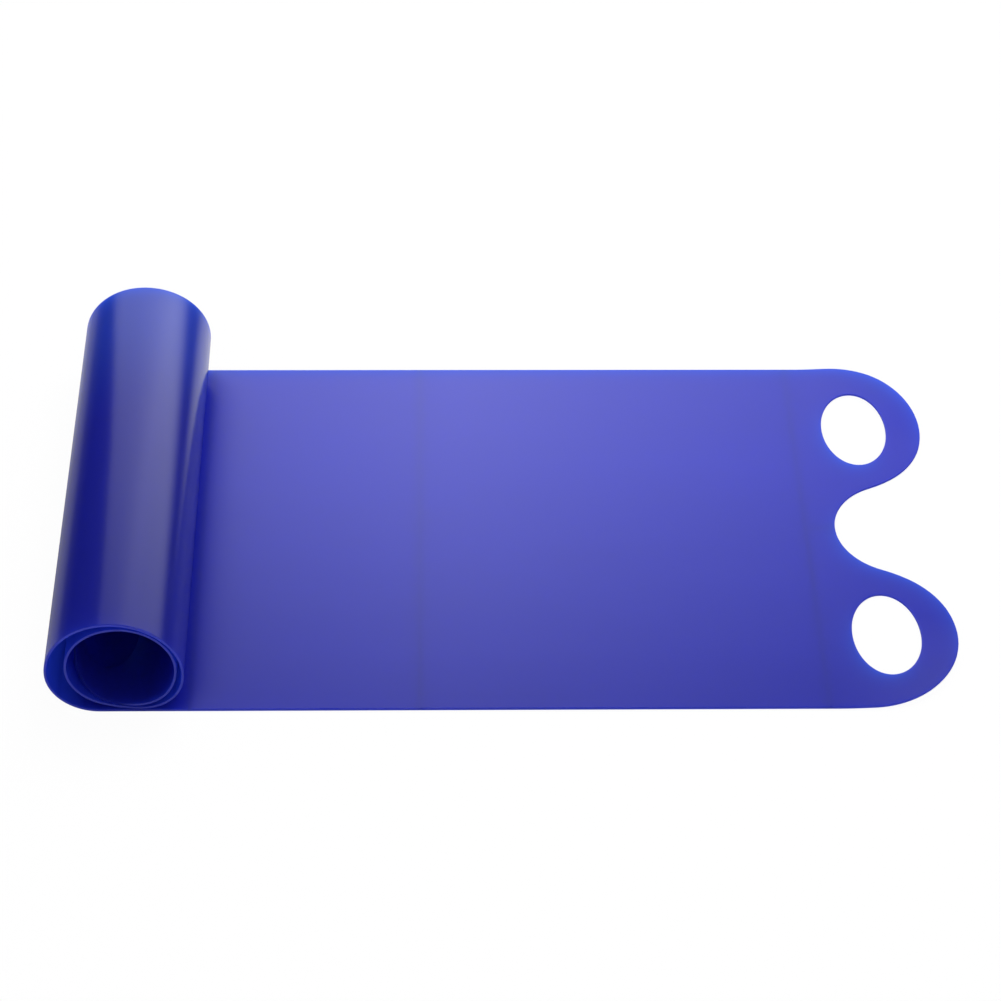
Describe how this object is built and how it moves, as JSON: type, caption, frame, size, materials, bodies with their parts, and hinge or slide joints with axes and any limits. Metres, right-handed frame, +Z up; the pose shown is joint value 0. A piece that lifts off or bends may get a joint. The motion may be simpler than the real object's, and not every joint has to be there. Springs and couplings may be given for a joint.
{
  "type": "flat elastic exercise strap",
  "caption": "Flat elastic stretching strap, partly rolled up, with two rounded lobes at its open end, an oval finger hole in each and a scooped notch between.",
  "frame": {"origin": "on the underside of the sheet, on its middle line, below the middle of the roll", "axes": "+X from the roll to the open end with the lobes, +Y across the strap to its far side, +Z up"},
  "size_m": [0.2607, 0.15, 0.034],
  "materials": {
    "open_sheet": "smooth, slightly see-through, soft sheen",
    "lobes": "smooth, slightly see-through, soft sheen",
    "roll": "smooth and glossy",
    "roll_inner_end": "smooth and glossy"
  },
  "bodies": {
    "open_part": {"roll_side_panel": "open_sheet"},
    "middle": {"middle_panel": "open_sheet"},
    "open_end": {"end_panel": "open_sheet"},
    "near_lobe": {"near_lobe": "lobes"},
    "far_lobe": {"far_lobe": "lobes"},
    "roll_01": {"coil_01": "roll"},
    "roll_02": {"coil_02": "roll"},
    "roll_03": {"coil_03": "roll"},
    "roll_04": {"coil_04": "roll"},
    "roll_05": {"coil_05": "roll"},
    "roll_06": {"coil_06": "roll"},
    "roll_07": {"coil_07": "roll"},
    "roll_08": {"coil_08": "roll"},
    "roll_09": {"coil_09": "roll"},
    "roll_10": {"coil_10": "roll"},
    "roll_11": {"coil_11": "roll"},
    "roll_12": {"coil_12": "roll"},
    "roll_13": {"coil_13": "roll"},
    "roll_14": {"coil_14": "roll"},
    "roll_15": {"coil_15": "roll"},
    "roll_16": {"coil_16": "roll"},
    "roll_17": {"coil_17": "roll"},
    "roll_18": {"coil_18": "roll"},
    "roll_19": {"coil_19": "roll"},
    "roll_20": {"coil_20": "roll"},
    "roll_21": {"coil_21_far_inner_bar": "roll_inner_end", "coil_21_far_outer_bar": "roll_inner_end", "coil_21_near_inner_bar": "roll_inner_end", "coil_21_near_outer_bar": "roll_inner_end"},
    "roll_22": {"coil_22_far_inner_bar": "roll_inner_end", "coil_22_far_outer_bar": "roll_inner_end", "coil_22_near_inner_bar": "roll_inner_end", "coil_22_near_outer_bar": "roll_inner_end"},
    "roll_23": {"coil_23_far": "roll_inner_end", "coil_23_near": "roll_inner_end"}
  },
  "joints": [
    {"name": "unroll", "type": "hinge", "parent": "open_part", "child": "roll_01", "pos_m": [-0.0046, 0, 0.00035], "axis": [0, -1, 0], "range_deg": [0, 18]},
    {"name": "unroll_02", "type": "hinge", "parent": "roll_01", "child": "roll_02", "pos_m": [-0.01301, 0, 0.00308], "axis": [0, -1, 0], "range_deg": [0, 36]},
    {"name": "unroll_03", "type": "hinge", "parent": "roll_02", "child": "roll_03", "pos_m": [-0.0182, 0, 0.01023], "axis": [0, -1, 0], "range_deg": [0, 37.28]},
    {"name": "unroll_04", "type": "hinge", "parent": "roll_03", "child": "roll_04", "pos_m": [-0.01797, 0, 0.02052], "axis": [0, -1, 0], "range_deg": [0, 34.72]},
    {"name": "unroll_05", "type": "hinge", "parent": "roll_04", "child": "roll_05", "pos_m": [-0.01107, 0, 0.03002], "axis": [0, -1, 0], "range_deg": [0, 36]},
    {"name": "unroll_06", "type": "hinge", "parent": "roll_05", "child": "roll_06", "pos_m": [0.0001, 0, 0.03365], "axis": [0, -1, 0], "range_deg": [0, 36]},
    {"name": "unroll_07", "type": "hinge", "parent": "roll_06", "child": "roll_07", "pos_m": [0.01162, 0, 0.02991], "axis": [0, -1, 0], "range_deg": [0, 35.76]},
    {"name": "unroll_08", "type": "hinge", "parent": "roll_07", "child": "roll_08", "pos_m": [0.01842, 0, 0.02062], "axis": [0, -1, 0], "range_deg": [0, 35.9]},
    {"name": "unroll_09", "type": "hinge", "parent": "roll_08", "child": "roll_09", "pos_m": [0.01849, 0, 0.00972], "axis": [0, -1, 0], "range_deg": [0, 35.93]},
    {"name": "unroll_10", "type": "hinge", "parent": "roll_09", "child": "roll_10", "pos_m": [0.01414, 0, 0.00364], "axis": [0, -1, 0], "range_deg": [0, 36.41]},
    {"name": "unroll_11", "type": "hinge", "parent": "roll_10", "child": "roll_11", "pos_m": [0.00721, 0, 0.00139], "axis": [0, -1, 0], "range_deg": [0, 32.52]},
    {"name": "unroll_12", "type": "hinge", "parent": "roll_11", "child": "roll_12", "pos_m": [-0.0075, 0, 0.0052], "axis": [0, -1, 0], "range_deg": [0, 39.48]},
    {"name": "unroll_13", "type": "hinge", "parent": "roll_12", "child": "roll_13", "pos_m": [-0.01255, 0, 0.01215], "axis": [0, -1, 0], "range_deg": [0, 36.46]},
    {"name": "unroll_14", "type": "hinge", "parent": "roll_13", "child": "roll_14", "pos_m": [-0.01247, 0, 0.0212], "axis": [0, -1, 0], "range_deg": [0, 35.54]},
    {"name": "unroll_15", "type": "hinge", "parent": "roll_14", "child": "roll_15", "pos_m": [-0.00688, 0, 0.0289], "axis": [0, -1, 0], "range_deg": [0, 36]},
    {"name": "unroll_16", "type": "hinge", "parent": "roll_15", "child": "roll_16", "pos_m": [0.00217, 0, 0.03184], "axis": [0, -1, 0], "range_deg": [0, 36]},
    {"name": "unroll_17", "type": "hinge", "parent": "roll_16", "child": "roll_17", "pos_m": [0.01111, 0, 0.02894], "axis": [0, -1, 0], "range_deg": [0, 36]},
    {"name": "unroll_18", "type": "hinge", "parent": "roll_17", "child": "roll_18", "pos_m": [0.01663, 0, 0.02134], "axis": [0, -1, 0], "range_deg": [0, 36.51]},
    {"name": "unroll_19", "type": "hinge", "parent": "roll_18", "child": "roll_19", "pos_m": [0.01654, 0, 0.01139], "axis": [0, -1, 0], "range_deg": [0, 33.63]},
    {"name": "unroll_20", "type": "hinge", "parent": "roll_19", "child": "roll_20", "pos_m": [0.01203, 0, 0.00474], "axis": [0, -1, 0], "range_deg": [0, 37.86]},
    {"name": "unroll_21", "type": "hinge", "parent": "roll_20", "child": "roll_21", "pos_m": [0.00557, 0, 0.00264], "axis": [0, -1, 0], "range_deg": [0, 34.67]},
    {"name": "unroll_22", "type": "hinge", "parent": "roll_21", "child": "roll_22", "pos_m": [-0.00677, 0, 0.00634], "axis": [0, -1, 0], "range_deg": [0, 43.33]},
    {"name": "unroll_23", "type": "hinge", "parent": "roll_22", "child": "roll_23", "pos_m": [-0.01108, 0, 0.0138], "axis": [0, -1, 0], "range_deg": [0, 40.39]},
    {"name": "fold", "type": "hinge", "parent": "open_part", "child": "middle", "pos_m": [0.06, 0, 0.00035], "axis": [0, -1, 0], "range_deg": [-135, 135]},
    {"name": "stretch", "type": "slide", "parent": "middle", "child": "open_end", "axis": [1, 0, 0], "range_m": [0, 0.12], "stiffness_N_per_m": 800},
    {"name": "near_lobe_flex", "type": "hinge", "parent": "open_end", "child": "near_lobe", "pos_m": [0.218, -0.0456, 0.00035], "axis": [0, -1, 0], "range_deg": [-90, 90]},
    {"name": "far_lobe_flex", "type": "hinge", "parent": "open_end", "child": "far_lobe", "pos_m": [0.218, 0.0456, 0.00035], "axis": [0, -1, 0], "range_deg": [-90, 90]}
  ],
  "couplings": [
    {"joint": "unroll_02", "follows": "unroll", "ratio": 2},
    {"joint": "unroll_03", "follows": "unroll", "ratio": 2.0711},
    {"joint": "unroll_04", "follows": "unroll", "ratio": 1.9289},
    {"joint": "unroll_05", "follows": "unroll", "ratio": 2},
    {"joint": "unroll_06", "follows": "unroll", "ratio": 2},
    {"joint": "unroll_07", "follows": "unroll", "ratio": 1.9868},
    {"joint": "unroll_08", "follows": "unroll", "ratio": 1.9946},
    {"joint": "unroll_09", "follows": "unroll", "ratio": 1.9959},
    {"joint": "unroll_10", "follows": "unroll", "ratio": 2.0226},
    {"joint": "unroll_11", "follows": "unroll", "ratio": 1.8064},
    {"joint": "unroll_12", "follows": "unroll", "ratio": 2.1936},
    {"joint": "unroll_13", "follows": "unroll", "ratio": 2.0258},
    {"joint": "unroll_14", "follows": "unroll", "ratio": 1.9742},
    {"joint": "unroll_15", "follows": "unroll", "ratio": 2},
    {"joint": "unroll_16", "follows": "unroll", "ratio": 2},
    {"joint": "unroll_17", "follows": "unroll", "ratio": 2},
    {"joint": "unroll_18", "follows": "unroll", "ratio": 2.0282},
    {"joint": "unroll_19", "follows": "unroll", "ratio": 1.8684},
    {"joint": "unroll_20", "follows": "unroll", "ratio": 2.1034},
    {"joint": "unroll_21", "follows": "unroll", "ratio": 1.9262},
    {"joint": "unroll_22", "follows": "unroll", "ratio": 2.4071},
    {"joint": "unroll_23", "follows": "unroll", "ratio": 2.2437}
  ]
}
